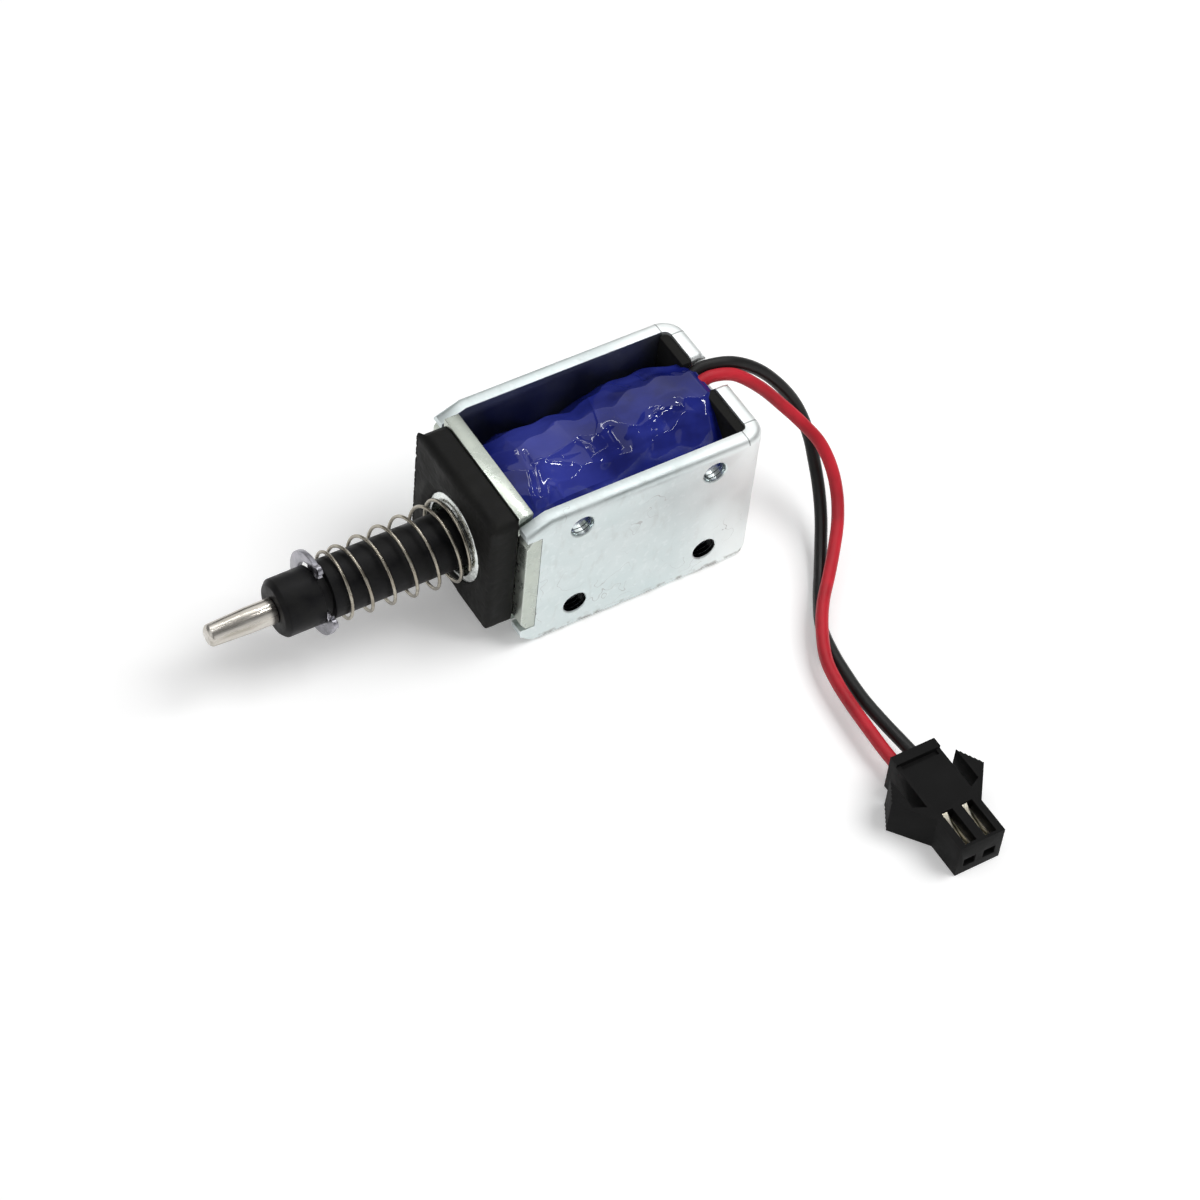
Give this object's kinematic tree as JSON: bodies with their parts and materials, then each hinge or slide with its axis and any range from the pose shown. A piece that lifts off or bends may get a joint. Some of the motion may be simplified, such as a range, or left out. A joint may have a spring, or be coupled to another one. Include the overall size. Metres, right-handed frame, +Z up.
{
  "type": "push pull solenoid",
  "caption": "Open-frame push pull solenoid: bent steel frame, wrapped coil, spring-returned plunger with push pin, rubber stop pad, and two leads ending in a plug.",
  "frame": {"origin": "middle of the solenoid's underside: half way between the push pin's tip and the staked core head, on the frame's centre plane, at the lower edge of the frame", "axes": "+X along the plunger, from the pin's tip towards the rear wall, the way the plunger moves when energised; +Z up through the frame's open side, where the leads come out; the wall with the four tapped holes faces -Y"},
  "size_m": [0.0732, 0.0673, 0.0192],
  "materials": {
    "zinc_plate": "zinc-plated sheet steel, pale and slightly blue, with faint scratches",
    "black_rubber": "matte moulded rubber with pale specks and brown rub marks",
    "seat_steel": "pressed plated steel",
    "spring_wire": "drawn spring wire, lightly oiled",
    "black_oxide": "matte black coated steel",
    "stainless_pin": "ground stainless rod with lengthwise streaks",
    "clip_steel": "stamped spring steel, satin grey",
    "tube_brass": "drawn brass tube",
    "core_steel": "turned mild steel",
    "shim_bronze": "thin rolled bronze",
    "black_nylon": "moulded glass-filled nylon",
    "copper_wire": "enamelled copper wire",
    "blue_tape": "glossy deep blue polyester film tape, wrinkled",
    "joint_sleeve": "thin insulating sleeve",
    "red_pvc": "satin PVC insulation",
    "black_pvc": "satin PVC insulation",
    "plug_plastic": "moulded black nylon",
    "tinned_brass": "tinned stamped brass"
  },
  "bodies": {
    "housing": {"frame": "zinc_plate", "front_plate": "zinc_plate", "rubber_pad": "black_rubber", "spring_seat": "seat_steel", "return_spring": "spring_wire", "guide_tube": "tube_brass", "fixed_core": "core_steel", "core_shim": "shim_bronze", "bobbin": "black_nylon", "coil_winding": "copper_wire", "coil_tape": "blue_tape", "red_lead_joint": "joint_sleeve", "black_lead_joint": "joint_sleeve", "red_lead": "red_pvc", "black_lead": "black_pvc", "plug_housing": "plug_plastic", "red_terminal": "tinned_brass", "black_terminal": "tinned_brass"},
    "plunger_group": {"plunger": "black_oxide", "push_pin": "stainless_pin", "e_clip": "clip_steel"}
  },
  "joints": [
    {"name": "plunger_slide", "type": "slide", "parent": "housing", "child": "plunger_group", "axis": [1, 0, 0], "range_m": [0, 0.01], "stiffness_N_per_m": 120, "deforming": ["return_spring"]}
  ]
}
